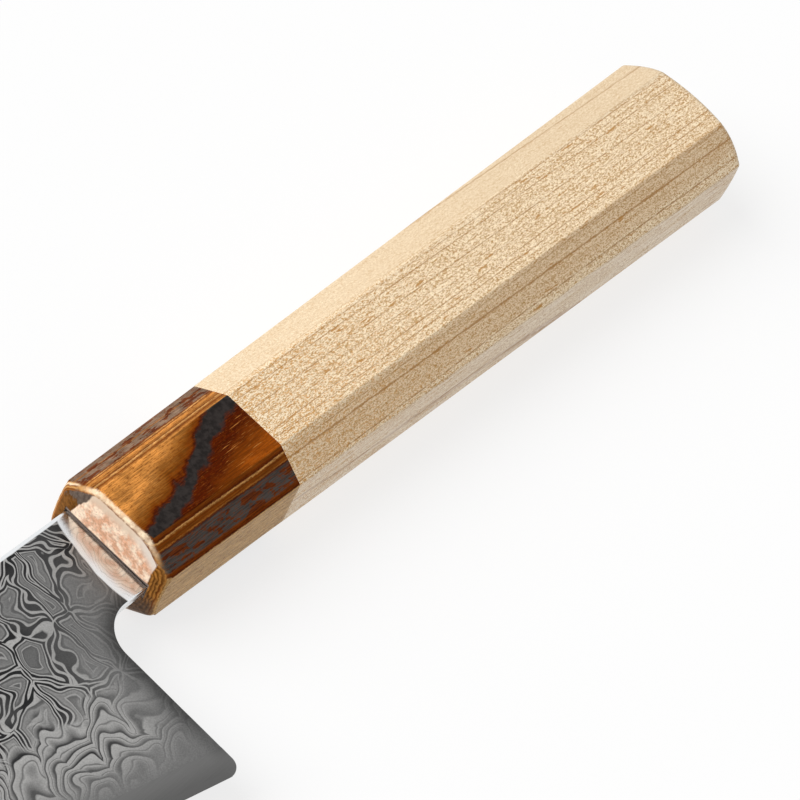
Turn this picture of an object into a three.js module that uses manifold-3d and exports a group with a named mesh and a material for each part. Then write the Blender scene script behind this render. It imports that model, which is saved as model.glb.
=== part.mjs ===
// Small kitchen knife: a laminated patterned blade with a stick tang in an octagonal wooden handle.
// The knife lies on its side: +X runs to the tip, +Y to the cutting edge, +Z out of the blade's left face.
// All sizes are millimetres. The origin is the centre of the handle body's underside flat.
import * as THREE from 'three';
import { mergeVertices } from 'three/addons/utils/BufferGeometryUtils.js';
import Module from 'manifold-3d';

const degree = Math.PI / 180;

// Handle and ferrule
const handleLength = 120; // butt end to the ferrule's front face
const handleThickness = 15; // across the two side flats
const frontHeight = 18; // spine side to edge side, at the ferrule's front
const buttHeight = 22.2; // the same at the butt
const frontChamfer = 4.6; // chamfer width along the height, at the ferrule's front
const buttChamfer = 5.4; // the same at the butt
const chamferAngle = 35.4 * degree; // chamfer's slope away from the side flat
const ferruleLength = 25.2;
const ferruleWall = 1.6; // thinnest wood between the dowel's bore and a side flat
const frontDomeLength = 1.5; // sanded dome of the front face, along the handle
const frontDomeDepth = 4; // the same, in from the section's sides
const buttRoundLength = 1.4;
const buttRoundDepth = 1.1;

// Joint between the blade and the handle
const glueGap = 0.25; // glue line round the dowel and the bedding
const slotGap = 0.5; // open space round the neck and the tang
const neckDepth = 4; // how far the full-height neck enters the ferrule
const slotFloor = 1.5; // ferrule wood between the neck's slot and the hidden dowel
const dowelCheek = 1.3; // wood left in the dowel above and below the tang slot
const buttWood = 37; // solid wood behind the tang's hole
const beddingLength = 22;
const beddingWall = 1; // resin between the tang's corners and the hole
const tangEndGap = 2.5; // resin behind the tang's end
const tangTaper = 2.6; // loss of tang height from shoulder to end

// Blade layers and section
const coreThickness = 0.6;
const claddingThickness = 0.7; // each side, at the spine by the neck
const tipCladding = 0.2; // the same at the point
const grindPower = 1.6; // above 1 the faces are convex
const shoulderThickness = 0.4; // behind the edge bevel
const bevelWidth = 0.9;
const spineRound = 0.7; // polished radius along the spine
const pointAngle = 3 * degree; // largest slope of a face near the point

// Blade outline, with heights from the handle's axis
const spineInset = 1.7; // ferrule's spine side down to the spine
const neckInset = 2; // ferrule's edge side up to the neck's lower line
const heelSetback = 8.8; // ferrule's front face to the heel line
const heelDepth = 32.3; // axis to the heel's corner
const heelRadius = 1.7;
const choilRadius = 5.2;
const edgeLength = 100; // heel line to point
const heelEdgeAngle = 11.5 * degree; // edge against the axis, at the heel
const bellyPower = 2.4; // how late the edge sweeps up to the point
const pointDepth = 1; // axis to the point
const spineFallLength = 60; // stretch over which the spine falls to the point

// Facets
const roundSegments = 48;
const roundSteps = 6;
const bladeStations = 28;
const faceRows = 5;
const spineSteps = 3;
const curveSteps = 10;
const cutMargin = 2; // how far cutting shapes reach past what they cut
const mergeDistance = 1e-4;

// Sizes that follow from the ones above
const halfThickness = handleThickness / 2;
const dowelRadius = halfThickness - ferruleWall - glueGap;
const ferruleBoreEnd = -neckDepth - slotGap - slotFloor;
const tangHeight = 2 * (dowelRadius - dowelCheek - slotGap);
const tangEndHeight = tangHeight - tangTaper;
const tangHoleEnd = buttWood - handleLength;
const dowelEnd = tangHoleEnd + beddingLength;
const tangEnd = tangHoleEnd + tangEndGap;
const bladeThickness = coreThickness + 2 * claddingThickness;
const pointThickness = coreThickness + 2 * tipCladding;
const spineY = spineInset - frontHeight / 2;
const neckY = frontHeight / 2 - neckInset;
const pointX = heelSetback + edgeLength;
const flatCentre = (ferruleLength + handleLength - buttRoundLength) / 2;
const tangHoleRadius = Math.hypot(tangHeightAt(dowelEnd), bladeThickness) / 2 + beddingWall + glueGap;

const wasm = await Module();
wasm.setup();

function solidFrom(geometry) {
  const bare = new THREE.BufferGeometry();
  bare.setAttribute('position', geometry.getAttribute('position'));
  bare.setIndex(geometry.getIndex());
  const merged = mergeVertices(bare, mergeDistance);
  return new wasm.Manifold(
    new wasm.Mesh({
      numProp: 3,
      vertProperties: new Float32Array(merged.getAttribute('position').array),
      triVerts: new Uint32Array(merged.getIndex().array),
    }),
  );
}

function geometryFrom(solid) {
  const mesh = solid.getMesh();
  const geometry = new THREE.BufferGeometry();
  geometry.setAttribute('position', new THREE.BufferAttribute(mesh.vertProperties, 3));
  geometry.setIndex(new THREE.BufferAttribute(mesh.triVerts, 1));
  geometry.computeVertexNormals();
  return geometry;
}

// Skin over rings of points, each ring turning from +Y to +Z, in order of rising x.
// The first ring is closed flat. The last ring is closed flat too, or drawn to an apex.
function loft(rings, apex) {
  const count = rings[0].length;
  const points = rings.flat();
  const triangles = [];
  for (let ring = 0; ring < rings.length - 1; ring += 1) {
    for (let side = 0; side < count; side += 1) {
      const a = ring * count + side;
      const b = ring * count + ((side + 1) % count);
      triangles.push(a, b, a + count, b, b + count, a + count);
    }
  }
  const last = (rings.length - 1) * count;
  for (let side = 1; side < count - 1; side += 1) {
    triangles.push(0, side + 1, side);
    if (!apex) triangles.push(last, last + side, last + side + 1);
  }
  if (apex) {
    points.push(apex);
    for (let side = 0; side < count; side += 1) {
      triangles.push(last + side, last + ((side + 1) % count), points.length - 1);
    }
  }
  const geometry = new THREE.BufferGeometry();
  geometry.setFromPoints(points);
  geometry.setIndex(triangles);
  return geometry;
}

function roundBar(radius, xFrom, xTo) {
  const bar = new THREE.CylinderGeometry(radius, radius, xTo - xFrom, roundSegments);
  bar.rotateZ(Math.PI / 2);
  bar.translate((xFrom + xTo) / 2, 0, 0);
  return solidFrom(bar);
}

function block(low, high) {
  const size = new THREE.Vector3().subVectors(high, low);
  const box = new THREE.BoxGeometry(size.x, size.y, size.z);
  const centre = new THREE.Vector3().addVectors(low, high).multiplyScalar(0.5);
  box.translate(centre.x, centre.y, centre.z);
  return solidFrom(box);
}

function plate(shape, thickness) {
  const flat = new THREE.ExtrudeGeometry(shape, {
    depth: thickness,
    bevelEnabled: false,
    curveSegments: curveSteps,
  });
  flat.translate(0, 0, -thickness / 2);
  return solidFrom(flat);
}

// Octagonal handle section at x, with every side moved in by inset.
function octagon(x, inset) {
  const share = -x / handleLength;
  const halfHeight = THREE.MathUtils.lerp(frontHeight, buttHeight, share) / 2;
  const width = THREE.MathUtils.lerp(frontChamfer, buttChamfer, share);
  const rise = width * Math.tan(chamferAngle);
  // The chamfer's line is sin * y + cos * z = reach.
  const sin = Math.sin(chamferAngle);
  const cos = Math.cos(chamferAngle);
  const reach = sin * halfHeight + cos * (halfThickness - rise) - inset;
  const y = halfHeight - inset;
  const z = halfThickness - inset;
  const ridgeZ = (reach - sin * y) / cos;
  const ridgeY = (reach - cos * z) / sin;
  const corners = [
    [y, -ridgeZ],
    [y, ridgeZ],
    [ridgeY, z],
    [-ridgeY, z],
    [-y, ridgeZ],
    [-y, -ridgeZ],
    [-ridgeY, -z],
    [ridgeY, -z],
  ];
  return corners.map(([cornerY, cornerZ]) => new THREE.Vector3(x, cornerY, cornerZ));
}

// Octagon rings over a quarter-round edge that starts at the end face and runs along direction.
function roundedEnd(xEnd, direction, length, depth) {
  const rings = [];
  for (let step = 0; step <= roundSteps; step += 1) {
    const turn = ((step / roundSteps) * Math.PI) / 2;
    rings.push(octagon(xEnd + direction * length * (1 - Math.cos(turn)), depth * (1 - Math.sin(turn))));
  }
  return rings;
}

function tangHeightAt(x) {
  const share = (x + neckDepth) / (tangEnd + neckDepth);
  return tangHeight - tangTaper * share;
}

// Tapered stick tang, grown by a gap on every side.
function tangRoom(gap) {
  const shape = new THREE.Shape();
  shape.moveTo(tangEnd - gap, -tangEndHeight / 2 - gap);
  shape.lineTo(-neckDepth, -tangHeight / 2 - gap);
  shape.lineTo(-neckDepth, tangHeight / 2 + gap);
  shape.lineTo(tangEnd - gap, tangEndHeight / 2 + gap);
  shape.closePath();
  return plate(shape, bladeThickness + 2 * gap);
}

function neckRoom() {
  const halfSlot = bladeThickness / 2 + slotGap;
  return block(
    new THREE.Vector3(-neckDepth - slotGap, spineY - slotGap, -halfSlot),
    new THREE.Vector3(cutMargin, neckY + slotGap, halfSlot),
  );
}

// Spine and edge heights at x, both ending in the point.
function spineAt(x) {
  const along = Math.max(0, (x - pointX + spineFallLength) / spineFallLength);
  return spineY + (pointDepth - spineY) * along ** 2;
}

function edgeAt(x) {
  const along = (x - heelSetback) / edgeLength;
  const straight = heelDepth - edgeLength * Math.tan(heelEdgeAngle) * along;
  const sweep = heelDepth - edgeLength * Math.tan(heelEdgeAngle) - pointDepth;
  return straight - sweep * along ** bellyPower;
}

// Half thickness at the spine: distal taper, limited close to the point by the face's slope.
function spineHalf(x, height) {
  const along = THREE.MathUtils.clamp((x - heelSetback) / edgeLength, 0, 1);
  const taper = THREE.MathUtils.lerp(bladeThickness, pointThickness, along) / 2;
  return Math.min(taper, shoulderThickness / 2 + height * Math.tan(pointAngle));
}

// Blade section at x: edge, left face up to the round spine, right face back down to the edge.
function bladeSection(x, profileX) {
  const top = spineAt(profileX);
  const height = edgeAt(profileX) - top;
  const half = spineHalf(profileX, height);
  const round = Math.min(spineRound, half, height / 4);
  const bevel = Math.min(bevelWidth, height / 4);
  const shoulder = Math.min(shoulderThickness / 2, half);
  const face = [];
  for (let row = faceRows; row > 0; row -= 1) {
    const down = row / faceRows;
    const z = shoulder + (half - shoulder) * (1 - down ** grindPower);
    face.push([top + round + (height - bevel - round) * down, z]);
  }
  for (let step = 0; step <= spineSteps; step += 1) {
    const turn = ((step / spineSteps) * Math.PI) / 2;
    face.push([top + round * (1 - Math.sin(turn)), half - round * (1 - Math.cos(turn))]);
  }
  const left = face.map(([y, z]) => new THREE.Vector3(x, y, z));
  const right = face.map(([y, z]) => new THREE.Vector3(x, y, -z)).reverse();
  return [new THREE.Vector3(x, top + height, 0), ...left, ...right];
}

// Outline that trims the ground blade to its heel, choil, neck and tang.
function bladeOutline() {
  const cornerX = heelSetback + heelRadius;
  const cornerY = heelDepth - (heelRadius * (1 + Math.sin(heelEdgeAngle))) / Math.cos(heelEdgeAngle);
  const meetX = cornerX + heelRadius * Math.sin(heelEdgeAngle);
  const meetY = cornerY + heelRadius * Math.cos(heelEdgeAngle);
  const shape = new THREE.Shape();
  shape.moveTo(tangEnd, -tangEndHeight / 2);
  shape.lineTo(-neckDepth, -tangHeight / 2);
  shape.lineTo(-neckDepth, spineY - cutMargin);
  shape.lineTo(pointX + cutMargin, spineY - cutMargin);
  shape.lineTo(pointX + cutMargin, heelDepth + cutMargin);
  shape.lineTo(meetX, heelDepth + cutMargin);
  shape.lineTo(meetX, meetY);
  shape.absarc(cornerX, cornerY, heelRadius, Math.PI / 2 - heelEdgeAngle, Math.PI, false);
  shape.lineTo(heelSetback, neckY + choilRadius);
  shape.absarc(heelSetback - choilRadius, neckY + choilRadius, choilRadius, 0, -Math.PI / 2, true);
  shape.lineTo(-neckDepth, neckY);
  shape.lineTo(-neckDepth, tangHeight / 2);
  shape.lineTo(tangEnd, tangEndHeight / 2);
  shape.closePath();
  return plate(shape, bladeThickness + cutMargin);
}

function groundBlade() {
  const rings = [bladeSection(tangEnd - cutMargin, heelSetback)];
  for (let station = 0; station < bladeStations; station += 1) {
    const x = heelSetback + (edgeLength * station) / bladeStations;
    rings.push(bladeSection(x, x));
  }
  const point = new THREE.Vector3(pointX, pointDepth, 0);
  return solidFrom(loft(rings, point)).intersect(bladeOutline());
}

// Slice of the blade between two heights through its thickness.
function bladeLayer(blade, zFrom, zTo) {
  const slice = block(
    new THREE.Vector3(tangEnd - cutMargin, spineY - cutMargin, zFrom),
    new THREE.Vector3(pointX + cutMargin, heelDepth + cutMargin, zTo),
  );
  return blade.intersect(slice);
}

function makeFerrule() {
  const dome = roundedEnd(0, -1, frontDomeLength, frontDomeDepth);
  const wood = solidFrom(loft([octagon(-ferruleLength, 0), ...dome.reverse()]));
  const bore = roundBar(dowelRadius + glueGap, -ferruleLength - cutMargin, ferruleBoreEnd);
  return wood.subtract(bore).subtract(neckRoom()).subtract(tangRoom(slotGap));
}

function makeDowel() {
  const bar = roundBar(dowelRadius, dowelEnd, ferruleBoreEnd - glueGap);
  return bar.subtract(tangRoom(slotGap));
}

function makeHandleBody() {
  const butt = roundedEnd(-handleLength, 1, buttRoundLength, buttRoundDepth);
  const wood = solidFrom(loft([...butt, octagon(-ferruleLength, 0)]));
  const bore = roundBar(dowelRadius + glueGap, dowelEnd - glueGap, cutMargin - ferruleLength);
  const tangHole = roundBar(tangHoleRadius, tangHoleEnd, dowelEnd);
  return wood.subtract(bore).subtract(tangHole);
}

function makeBedding() {
  const plug = roundBar(tangHoleRadius - glueGap, tangHoleEnd + glueGap, dowelEnd - 2 * glueGap);
  return plug.subtract(tangRoom(glueGap));
}

const assembly = new THREE.Group();

function addPiece(name, solid, finish) {
  const piece = new THREE.Mesh(geometryFrom(solid), new THREE.MeshStandardMaterial(finish));
  piece.name = name;
  assembly.add(piece);
}

const blade = groundBlade();
const halfCore = coreThickness / 2;
const outside = bladeThickness / 2 + cutMargin;
addPiece('blade_core', bladeLayer(blade, -halfCore, halfCore), {
  color: 0x8f9193,
  roughness: 0.32,
  metalness: 1,
});
addPiece('cladding_left', bladeLayer(blade, halfCore, outside), {
  color: 0x6c6d6e,
  roughness: 0.38,
  metalness: 1,
});
addPiece('cladding_right', bladeLayer(blade, -outside, -halfCore), {
  color: 0x6c6d6e,
  roughness: 0.38,
  metalness: 1,
});
addPiece('ferrule', makeFerrule(), { color: 0x8a4d1d, roughness: 0.4, metalness: 0 });
addPiece('dowel', makeDowel(), { color: 0xe3bb98, roughness: 0.7, metalness: 0 });
addPiece('handle_body', makeHandleBody(), { color: 0xdabd8b, roughness: 0.5, metalness: 0 });
addPiece('tang_bedding', makeBedding(), { color: 0xc9b98c, roughness: 0.45, metalness: 0 });

// The assembly is built from the ferrule's front face and the blade's middle plane.
assembly.position.set(flatCentre, 0, halfThickness);

const knife = new THREE.Group();
knife.add(assembly);

export default knife;
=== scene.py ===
import math
import bmesh
import bpy
import numpy as np
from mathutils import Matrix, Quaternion, Vector
from types import SimpleNamespace


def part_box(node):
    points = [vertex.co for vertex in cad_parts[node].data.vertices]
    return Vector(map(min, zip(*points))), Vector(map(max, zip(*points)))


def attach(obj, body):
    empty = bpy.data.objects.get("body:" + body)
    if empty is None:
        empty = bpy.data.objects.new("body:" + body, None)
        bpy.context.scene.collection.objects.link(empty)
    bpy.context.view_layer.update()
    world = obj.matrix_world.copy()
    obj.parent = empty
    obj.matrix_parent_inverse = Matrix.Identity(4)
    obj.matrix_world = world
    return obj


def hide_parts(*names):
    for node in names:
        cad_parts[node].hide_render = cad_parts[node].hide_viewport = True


# Paring knife laid on its side: laminated patterned blade, dyed ferrule, octagonal maple handle.
# Shapes are worked out in millimetres from the ferrule's front face (x), the handle's axis (y)
# and the blade's middle plane (z); placeInFrame carries them to the frame, in metres.

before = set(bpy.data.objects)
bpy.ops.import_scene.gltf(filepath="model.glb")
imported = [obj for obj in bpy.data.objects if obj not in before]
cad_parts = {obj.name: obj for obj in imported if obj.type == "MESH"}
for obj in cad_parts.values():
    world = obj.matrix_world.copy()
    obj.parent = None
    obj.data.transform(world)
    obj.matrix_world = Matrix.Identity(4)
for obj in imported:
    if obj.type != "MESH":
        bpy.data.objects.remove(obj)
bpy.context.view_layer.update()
mm = 0.001

ferruleLow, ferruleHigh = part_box("ferrule")
dowelLow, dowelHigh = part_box("dowel")
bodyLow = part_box("handle_body")[0]
coreLow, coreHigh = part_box("blade_core")
beddingLow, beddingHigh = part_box("tang_bedding")
knifeOrigin = np.array([ferruleHigh.x, 0.0, (ferruleLow.z + ferruleHigh.z) / 2])
mergeDistance = 1e-7  # metres
sharpAngle = math.radians(38)
tiny = 1e-6  # keeps divisions finite
print("frame loaded:", len(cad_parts), "nodes, ferrule ends at", round(ferruleHigh.x / mm, 2), "mm")


def lerp(start, end, share):
    return start + (end - start) * share


# Even steps from start to end without the start, and between 0 and 1 without both.
def stepsTo(start, end, count):
    return np.linspace(start, end, count)[1:]


def stepsBetween(count):
    return np.linspace(0, 1, count + 2)[1:-1]


# Drop of a quarter circle of radius 1 at a share of the way to its end.
def quarterDrop(share):
    return 1 - np.sqrt(1 - np.clip(share, 0, 1) ** 2)


def fromFront(x):
    return (x - ferruleHigh.x) / mm


def placeInFrame(points):
    return knifeOrigin + points * mm


# A piece is a grid of rings x columns x 3. Every ring closes on itself, each ring is joined to the next
# by quads, and rings that shrink to a point or points that coincide become one point.
def makePiece(name, grid, node, closeRings=False, marks=None):
    rings, columns = grid.shape[:2]
    index = np.arange(rings * columns).reshape(rings, columns)
    ahead = np.roll(index, -1, axis=0)
    quads = np.stack([index, np.roll(index, -1, axis=1), np.roll(ahead, -1, axis=1), ahead], axis=-1)
    if not closeRings:
        quads = quads[:-1]
    mesh = bpy.data.meshes.new(name)
    mesh.from_pydata(placeInFrame(grid).reshape(-1, 3).tolist(), [], quads.reshape(-1, 4).tolist())
    for key, values in (marks or {}).items():
        mesh.attributes.new(key, "FLOAT", "POINT").data.foreach_set("value", values.ravel())
    shape = bmesh.new()
    shape.from_mesh(mesh)
    bmesh.ops.remove_doubles(shape, verts=shape.verts, dist=mergeDistance)
    bmesh.ops.recalc_face_normals(shape, faces=shape.faces)
    shape.to_mesh(mesh)
    shape.free()
    mesh.shade_smooth()
    mesh.set_sharp_from_angle(angle=sharpAngle)
    piece = bpy.data.objects.new(name, mesh)
    bpy.context.scene.collection.objects.link(piece)
    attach(piece, "root")
    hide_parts(node)
    print("piece", name, len(mesh.polygons), "faces")
    return piece


def evenShading(piece):
    flats = piece.modifiers.new("evenShading", "WEIGHTED_NORMAL")
    flats.keep_sharp = True


# Where blade, ferrule, dowel and handle meet

joint = {
    "glueGap": 0.25,
    "slotGap": 0.5,
    "seam": fromFront(ferruleLow.x),
    "dowelFront": fromFront(dowelHigh.x),
    "dowelEnd": fromFront(dowelLow.x),
    "dowelRadius": (dowelHigh.z - dowelLow.z) / 2 / mm,
    "dowelColumns": 96,
    "beddingRadius": (beddingHigh.z - beddingLow.z) / 2 / mm,
    "beddingEnd": fromFront(beddingLow.x),
    "spineY": coreLow.y / mm,
    "neckY": 7.0,
    "neckDepth": 4.0,
    "bladeHalf": 1.0,
    "tangEnd": fromFront(coreLow.x),
    "tangHalf": 3.85,
    "tangEndHalf": 2.55,
}
slotFloor = -joint["neckDepth"] - joint["slotGap"]


# Half height of the tapered tang.
def tangHalfAt(x):
    share = (x + joint["neckDepth"]) / (joint["tangEnd"] + joint["neckDepth"])
    return lerp(joint["tangHalf"], joint["tangEndHalf"], share)


# Low, high and half width of the slot that the blade's neck stands in, with a gap round the neck,
# and of the tang's hole at x.
def neckSlot(gap):
    return joint["spineY"] - gap, joint["neckY"] + gap, joint["bladeHalf"] + gap


def tangSlot(x):
    high = tangHalfAt(x) + joint["slotGap"]
    return -high, high, joint["bladeHalf"] + joint["slotGap"]


# A slot's rectangle met by rays from the axis, and the angles of its corners.
def slotOutline(angle, low, high, half):
    cosine, sine = np.cos(angle), np.sin(angle)
    end = np.where(cosine > 0, high, -low)
    radius = np.minimum(end / np.maximum(abs(cosine), tiny), half / np.maximum(abs(sine), tiny))
    return radius * cosine, radius * sine


def cornerAngles(low, high, half):
    bottom, top = math.atan2(half, high), math.atan2(half, -low)
    return np.array([-bottom, bottom, math.pi - top, math.pi + top])


def ringOf(x, y, z):
    return np.stack([np.full_like(y, x), y, z], axis=-1)


# Octagonal handle

handle = {
    "length": (ferruleHigh.x - bodyLow.x) / mm,  # butt to the ferrule's front face
    "thickness": (ferruleHigh.z - ferruleLow.z) / mm,
    "frontHeight": 18.0,
    "buttHeight": 22.2,
    "frontChamfer": 4.6,
    "buttChamfer": 5.4,
    "chamferAngle": math.radians(35.4),
    "ridgeRadius": 0.32,  # hand-eased ridges between the flats
    "ridgeSteps": 6,
    "flatSteps": 26,
    "buttRoundLength": 1.4,
    "buttRoundDepth": 1.1,
    "buttRings": 10,
    "faceRings": (0.0, 0.2, 0.4, 0.6, 0.8, 0.92),  # shares of the outline
    "buttBulge": 0.52,  # the butt stands out by this between its ridges, more on its face
    "bulgeMiddle": 0.55,
    "bulgeFade": 6.0,
    "buttDome": 0.3,
    "seamRound": 0.09,  # eased edge at the ferrule's seam
    "seamRings": 5,
    "sideRings": 70,
}
halfThickness = handle["thickness"] / 2
chamferSine, chamferCosine = math.sin(handle["chamferAngle"]), math.cos(handle["chamferAngle"])


# Half height of the section at x, and reach of its chamfer's line, which is
# chamferSine * y + chamferCosine * z = reach.
def octagonSizes(x):
    share = -x / handle["length"]
    halfHeight = lerp(handle["frontHeight"], handle["buttHeight"], share) / 2
    width = lerp(handle["frontChamfer"], handle["buttChamfer"], share)
    return halfHeight, chamferSine * halfHeight + chamferCosine * halfThickness - chamferSine * width


# Rounded octagon: corners of an octagon set in by inset + ridgeRadius, an arc of that radius about each
# corner from one flat's normal to the next, and straight steps along the flats between the arcs.
def octagonRings(x, inset):
    x, inset = np.broadcast_arrays(np.asarray(x, float), np.asarray(inset, float))
    halfHeight, reach = octagonSizes(x)
    radius = handle["ridgeRadius"]
    y = halfHeight - inset - radius
    z = halfThickness - inset - radius
    line = reach - inset - radius
    ridgeZ = (line - chamferSine * y) / chamferCosine
    ridgeY = (line - chamferCosine * z) / chamferSine
    corners = np.stack([
        np.stack([y, ridgeY, -ridgeY, -y, -y, -ridgeY, ridgeY, y]),
        np.stack([ridgeZ, z, z, ridgeZ, -ridgeZ, -z, -z, -ridgeZ]),
    ])
    slope = math.pi / 2 - handle["chamferAngle"]
    normals = np.array([0, slope, math.pi / 2, math.pi - slope])
    normals = np.concatenate([normals, normals + math.pi, [2 * math.pi]])
    turn = lerp(normals[:-1, None], normals[1:, None], np.linspace(0, 1, handle["ridgeSteps"] + 1))
    arcs = corners[..., None] + radius * np.stack([np.cos(turn), np.sin(turn)])[:, :, None]
    share = stepsBetween(handle["flatSteps"])
    flats = lerp(arcs[..., -1:], np.roll(arcs[..., :1], -1, axis=1), share)
    section = np.concatenate([arcs, flats], axis=-1)  # two coordinates, corner, ring, step
    section = section.transpose(2, 1, 3, 0).reshape(len(x), -1, 2)
    along = np.broadcast_to(x[:, None, None], section.shape[:2] + (1,))
    return np.concatenate([along, section], axis=-1)


# Share of the way from a flat's middle to its ridges, for each column of the octagon's rings.
def ridgeShare():
    flat = abs(2 * stepsBetween(handle["flatSteps"]) - 1)
    return np.tile(np.concatenate([np.ones(handle["ridgeSteps"] + 1), flat]), 8)


# Circle whose points stand at given angles about the axis.
def circleAt(x, angle, radius):
    return ringOf(x, radius * np.cos(angle), radius * np.sin(angle))


# Butt face as shrinking copies of its outline on a shallow dome, quarter-ellipse edge that bows out
# between the ridges, straight tapering sides, eased seam edge, then dowel bore and tang hole inside.
def makeHandleBody():
    turn = np.linspace(0, math.pi / 2, handle["buttRings"])
    buttX = -handle["length"] + handle["buttRoundLength"] * (1 - np.cos(turn))
    buttInset = handle["buttRoundDepth"] * (1 - np.sin(turn))
    seam = joint["seam"]
    sideX = stepsTo(buttX[-1], seam - handle["seamRound"], handle["sideRings"])
    seamTurn = turn[2::2]
    easeX = seam - handle["seamRound"] * (1 - np.sin(seamTurn))
    easeInset = handle["seamRound"] * (1 - np.cos(seamTurn))
    outside = octagonRings(
        np.concatenate([buttX, sideX, easeX]),
        np.concatenate([buttInset, np.zeros_like(sideX), easeInset]),
    )
    nearButt = np.clip(1 - (outside[..., 0] + handle["length"]) / handle["bulgeFade"], 0, 1)
    outside[..., 0] += handle["buttBulge"] * (ridgeShare() ** 2 - handle["bulgeMiddle"]) * nearButt
    shrink = np.array(handle["faceRings"])[:, None]
    apex = outside[0, :, 0].min() - handle["buttDome"]
    buttFace = outside[:1] * shrink[..., None]
    buttFace[..., 0] = lerp(apex, outside[:1, :, 0], shrink ** 2)
    angle = np.arctan2(outside[-1, :, 2], outside[-1, :, 1])
    boreEnd = joint["dowelEnd"] - joint["glueGap"]
    holeEnd = joint["beddingEnd"] - joint["glueGap"]
    boreRadius = joint["dowelRadius"] + joint["glueGap"]
    holeRadius = joint["beddingRadius"] + joint["glueGap"]
    steps = [(seam, boreRadius), (boreEnd, boreRadius), (boreEnd, holeRadius), (holeEnd, holeRadius),
             (holeEnd, 0.0)]
    bore = np.stack([circleAt(x, angle, radius) for x, radius in steps])
    piece = makePiece("maple_handle", np.concatenate([buttFace, outside, bore]), "handle_body")
    evenShading(piece)
    return piece


mapleHandle = makeHandleBody()


# Ferrule with a domed front, slotted for the blade and bored from behind

front = {
    "domeLength": 1.5,
    "domeDepth": 4.0,
    "domePower": 2.7,
    "endBulge": 0.42,  # share by which the dome is shallower in the middle of the spine and edge flats
    "endPower": 8,
    "crease": 0.25,  # softness of the dome's creases below the ridges
    "domeRings": 26,
    "sideRings": 40,
    "noRim": 9.0,  # rim mark of the slot and the bore
    "mouthGap": 0.56,  # slot's mouth round the neck, sealed a little below the front
    "mouthSpine": 0.9,  # shares of the gap that the mouth lacks at the spine and the edge side
    "mouthEdge": 0.7,
    "mouthDepth": 0.22,
    "sealGap": 0.03,
    "sealThickness": 0.8,
}


# Distance in from the nearest flat, a soft minimum over the eight flats at the front.
def frontInset(y, z):
    halfHeight, reach = octagonSizes(0.0)
    y, z = abs(y), abs(z)
    gaps = np.stack([halfHeight - y, halfThickness - z, reach - chamferSine * y - chamferCosine * z])
    soft = front["crease"]
    return np.maximum(-soft * np.log(np.exp(-gaps / soft).sum(axis=0)), 0)


# Quarter superellipse from the flats to the front face: x falls back by domeLength where the inset is
# nought, and by less in the middle of the spine and edge flats, so both ends of the front bow out.
def domeX(y, z):
    turn = np.clip(1 - frontInset(y, z) / front["domeDepth"], 0, 1)
    power = front["domePower"]
    halfHeight, reach = octagonSizes(0.0)
    ridge = (reach - chamferSine * halfHeight) / chamferCosine
    end = np.clip(abs(y) / halfHeight, 0, 1) ** front["endPower"]
    end = end * np.clip(1 - (z / ridge) ** 2, 0, 1)
    length = front["domeLength"] * (1 - front["endBulge"] * end)
    return -length * (1 - (1 - turn ** power) ** (1 / power))


# Closed ring sampled at given angles, by straight interpolation between its own points.
def ringAtAngles(ring, angles):
    own = np.unwrap(np.arctan2(ring[:, 2], ring[:, 1]))
    full = np.concatenate([own - 2 * math.pi, own, own + 2 * math.pi])
    return np.stack([np.interp(angles, full, np.tile(ring[:, k], 3)) for k in range(3)], axis=-1)


# Mouth of the slot: wider than the neck to its sides, close at the spine and the edge side.
def mouthSlot():
    low, high, half = neckSlot(front["mouthGap"])
    gap = front["mouthGap"]
    return low + gap * front["mouthSpine"], high - gap * front["mouthEdge"], half


# Seal round the neck, slot, tang hole and bore back to the seam.
def ferruleInside(angles, mouth, seal, slot, hole):
    sealTop = -front["mouthDepth"]
    sealEnd = sealTop - front["sealThickness"]
    boreFront = joint["dowelFront"] + joint["glueGap"]
    radius = joint["dowelRadius"] + joint["glueGap"]
    return np.stack([
        ringOf(sealTop, *mouth),
        ringOf(sealTop, *seal),
        ringOf(sealEnd, *seal),
        ringOf(sealEnd, *slot),
        ringOf(slotFloor, *slot),
        ringOf(slotFloor, *hole),
        ringOf(boreFront, *hole),
        circleAt(boreFront, angles, radius),
        circleAt(joint["seam"], angles, radius),
    ])


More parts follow.
